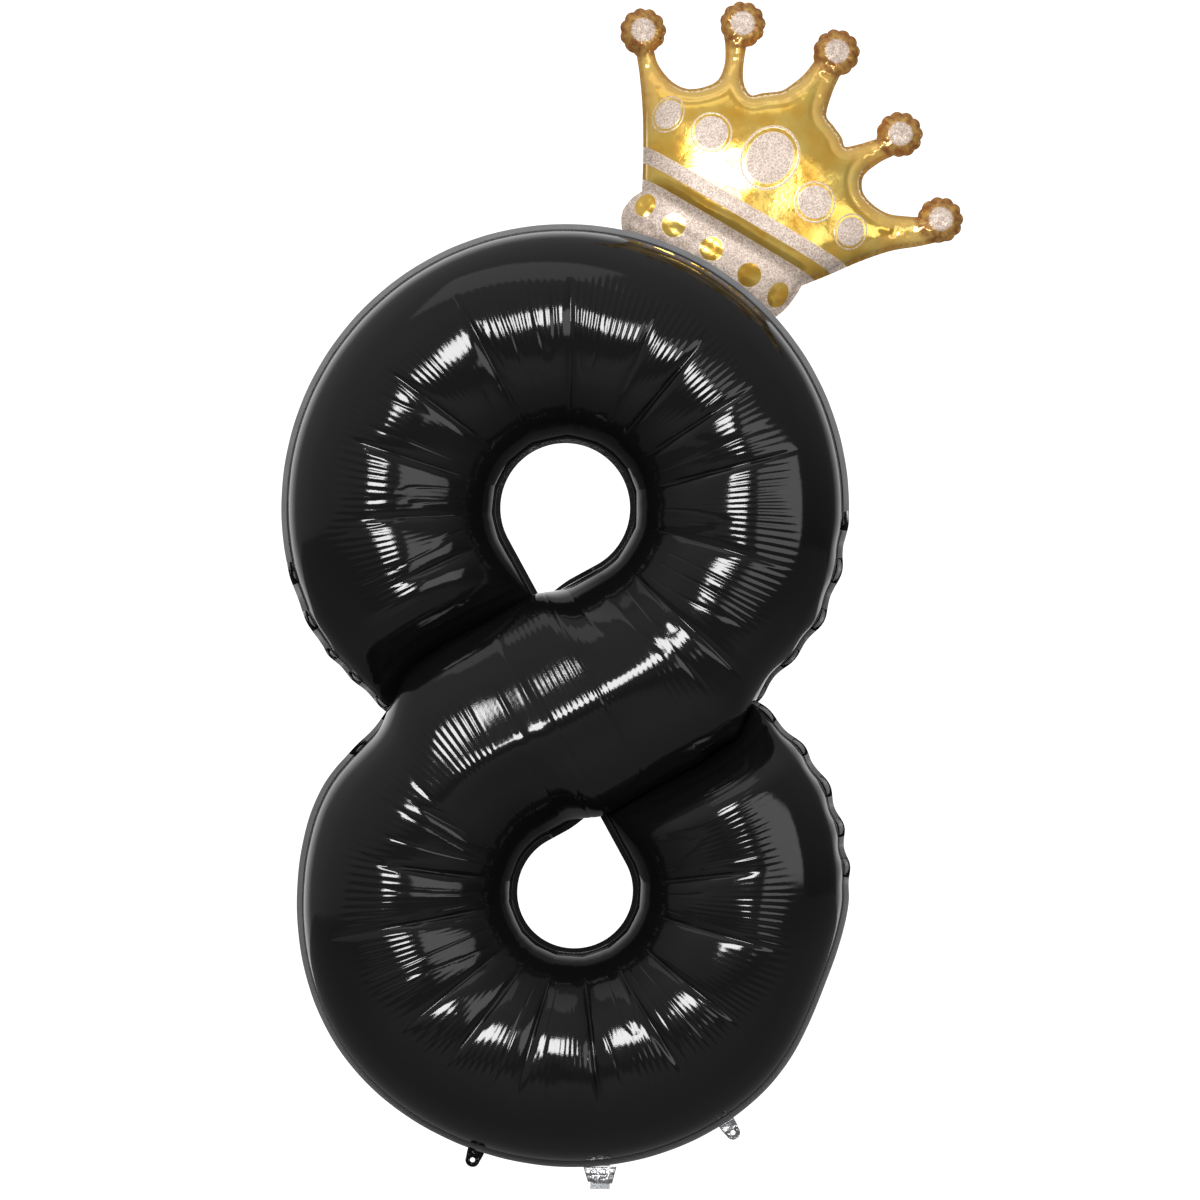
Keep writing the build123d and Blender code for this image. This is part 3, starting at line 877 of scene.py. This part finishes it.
def crown_foil():
    """Mirror gold film printed with glitter: gems, stripes and a studded band. The print's unit is 1 mm."""
    shader = Shader("crown_foil")
    place, u, v = shader.uv("print")
    _, edge, _ = shader.uv("edge")

    def any_of(masks):
        result = masks[0]
        for mask in masks[1:]:
            result = shader.math("MAXIMUM", result, mask)
        return result

    def between(low, high):
        return shader.math("MULTIPLY", shader.span(v, low - 0.4, low + 0.4), shader.within(v, high, 0.4))

    gems = [shader.oval(u, v, centre, radii) for centre, radii in GEMS]
    studs = [shader.oval(u, v, centre, radii) for centre, radii in STUDS]
    knobs = [shader.oval(u, v, centre, (KNOB_RADIUS, KNOB_RADIUS)) for centre in KNOBS]
    gem = any_of([shader.within(d, 0.80, 0.02) for d in gems])
    off_ring = [shader.math("ABSOLUTE", shader.math("SUBTRACT", d, 0.96)) for d in gems]
    rings = any_of([shader.within(d, 0.035, 0.02) for d in off_ring])
    stud = any_of([shader.within(d, 1.0, 0.03) for d in studs])
    pearl = any_of([shader.within(d, 0.58, 0.06) for d in knobs])
    crumpled = any_of([shader.within(d, 1.25, 0.12) for d in knobs])
    stripes = any_of([between(*band) for band in BANDS])
    stripes = shader.math("MULTIPLY", stripes, shader.math("SUBTRACT", 1.0, stud))
    glitter = any_of([gem, rings, stripes, pearl])

    coarse, fine = shader.specks(place, 0.9), shader.specks(place, 2.1)
    sparkle = shader.math("ADD", shader.math("MULTIPLY", coarse, 0.5), shader.math("MULTIPLY", fine, 0.5))
    cloud, wrinkle = shader.noise(place, 0.035, 3.0), shader.noise(place, 0.16, 3.0)
    gold = shader.mix(shader.span(cloud, 0.35, 0.65), GOLD, ORANGE_GOLD)
    rim_band = shader.math("MULTIPLY", shader.within(edge, RIM_BAND, 1.0), shader.span(v, 50, 85))
    gold = shader.mix(shader.math("MULTIPLY", rim_band, 0.55), gold, SATIN_GOLD)
    hem = shader.within(edge, 2.0, 1.2)
    gold = shader.mix(shader.math("MULTIPLY", hem, 0.45), gold, COPPER)
    copper_share = shader.math("MULTIPLY", crumpled, shader.span(wrinkle, 0.35, 0.6, 0.95, 0.45))
    gold = shader.mix(copper_share, gold, COPPER)
    silver = shader.mix(shader.span(sparkle, 0.25, 0.75), GLITTER_DARK, GLITTER_PALE)
    metal, satin = shader.span(glitter, 0.0, 1.0, 0.66, 0.15), shader.span(rim_band, 0, 1, 1, 0.6)
    rough_glitter = shader.math("MULTIPLY", glitter, 0.26)
    rough_foil = shader.span(wrinkle, 0.3, 0.7, 0.13, 0.22)
    shader.set(
        Base_Color=shader.mix(glitter, gold, silver),
        Metallic=shader.math("MULTIPLY", metal, satin),
        Roughness=shader.math("ADD", rough_glitter, rough_foil),
    )
    flakes = shader.math("MULTIPLY", shader.math("MULTIPLY", sparkle, glitter), 0.5)
    shader.bump(shader.math("ADD", flakes, wrinkle), 0.00022)
    return shader.material


# ---------------------------------------------------------------- pieces
black, silver, clear = black_foil(), silver_film(), clear_film()
printed = crown_foil()
for side, seed, node in ((FRONT, 40, "front_foil"), (BACK, 90, "back_foil")):
    ply = film_of_8(node + "_film", side, seed, black)
    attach(ply, "balloon")
    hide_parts(node)
for side, seed, node in ((FRONT, 140, "crown_front_foil"), (BACK, 190, "crown_back_foil")):
    ply = crown_ply(node + "_film", side, seed, printed)
    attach(ply, "crown")
    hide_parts(node)

mounts = {mount["name"]: mount["pos_m"] for mount in frame["record"]["mounts"]}
for node, body, lap, seed, material, finish in (
    ("left_hang_tab", "left_tab", LEFT_TAB_LAP, 7, black, "black_foil"),
    ("right_hang_tab", "right_tab", RIGHT_TAB_LAP, 8, silver, "silver_film"),
):
    tab = hang_tab(node + "_film", mounts[body + "_hole"], pivots[body], lap, seed, material)
    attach(tab, body)
    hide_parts(node)
for side, seed, node in ((FRONT, 9, "neck_front_ply"), (BACK, 10, "neck_back_ply")):
    ply = neck_ply(node + "_film", node, side, seed, silver)
    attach(ply, "neck")
    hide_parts(node)

valve_films = ("valve_front_film", "valve_back_film", "crown_valve_front_film", "crown_valve_back_film")
finishes = {node: clear for node in (*valve_films, "valve_sleeve")}
finishes["glue_dots"] = adhesive()
finishes["crown_tail"] = gold_film()
for node, material in finishes.items():
    frame["nodes"][node].material_slots[0].material = material


# ---------------------------------------------------------------- studio
def soft_light(name, place, target, size, radiance):
    """Rectangular light of the given brightness, turned to its target."""
    light = bpy.data.lights.new(name, "AREA")
    light.shape = "RECTANGLE"
    light.size, light.size_y = size
    light.energy = radiance * math.pi * size[0] * size[1]
    lamp = bpy.data.objects.new(name, light)
    lamp.location = place
    lamp.rotation_euler = (Vector(target) - Vector(place)).to_track_quat("-Z", "Y").to_euler()
    bpy.context.collection.objects.link(lamp)


def paper(name, grey, glow):
    """Plain matt paper, faintly mottled. The glow is for the camera only, so reflections see it darker."""
    shader = Shader(name)
    cloud = shader.noise(shader.place(), 3.0)
    seen = shader.nodes.new("ShaderNodeLightPath").outputs["Is Camera Ray"]
    shader.set(
        Base_Color=shader.mix(cloud, (grey, grey, grey, 1), (0.96 * grey, 0.96 * grey, 0.96 * grey, 1)),
        Roughness=0.9,
        Emission_Color=(1, 1, 1, 1),
        Emission_Strength=shader.math("MULTIPLY", seen, glow),
    )
    return shader.material


def sky(scene):
    """Dim room, brighter above and to the left, with a white wall behind. The camera sees it all white."""
    world = bpy.data.worlds.new("studio")
    world.use_nodes = True
    scene.world = world
    tree = Nodes(world.node_tree)
    x, y, z = tree.parts(tree.nodes.new("ShaderNodeTexCoord").outputs["Generated"])
    room = tree.span(tree.math("ADD", z, tree.math("MULTIPLY", x, -0.45)), -0.7, 0.8, 0.03, 0.44)
    lit = tree.math("ADD", room, tree.span(y, 0.62, 0.85))
    seen = tree.nodes.new("ShaderNodeLightPath").outputs["Is Camera Ray"]
    background = tree.nodes["Background"]
    background.inputs["Color"].default_value = (1, 1, 1, 1)
    tree.feed(background.inputs["Strength"], tree.math("MAXIMUM", lit, seen))


def studio():
    scene = bpy.context.scene
    scene.view_settings.view_transform = "Standard"
    sky(scene)
    middle = (0, 0, 0.5)
    soft_light("key", (-0.25, -3.2, 1.25), middle, (0.95, 0.85), 23)
    soft_light("panel", (1.9, -2.4, 0.80), (0, 0, 0.8), (2.6, 1.2), 1.8)
    soft_light("high", (-0.6, -1.2, 3.2), middle, (2.4, 1.2), 0.6)
    bpy.ops.mesh.primitive_plane_add(size=20, location=(0, -5, -0.75))
    floor = bpy.context.object
    floor.name = "floor"
    floor.data.materials.append(paper("floor_paper", 0.26, 0.72))
    camera_data = bpy.data.cameras.new("camera")
    camera_data.lens, camera_data.sensor_width = 131.6, 36
    camera = bpy.data.objects.new("camera", camera_data)
    camera.location = (0, -4, 0.516)
    camera.rotation_euler = (math.pi / 2, 0, 0)
    bpy.context.collection.objects.link(camera)
    scene.camera = camera


studio()
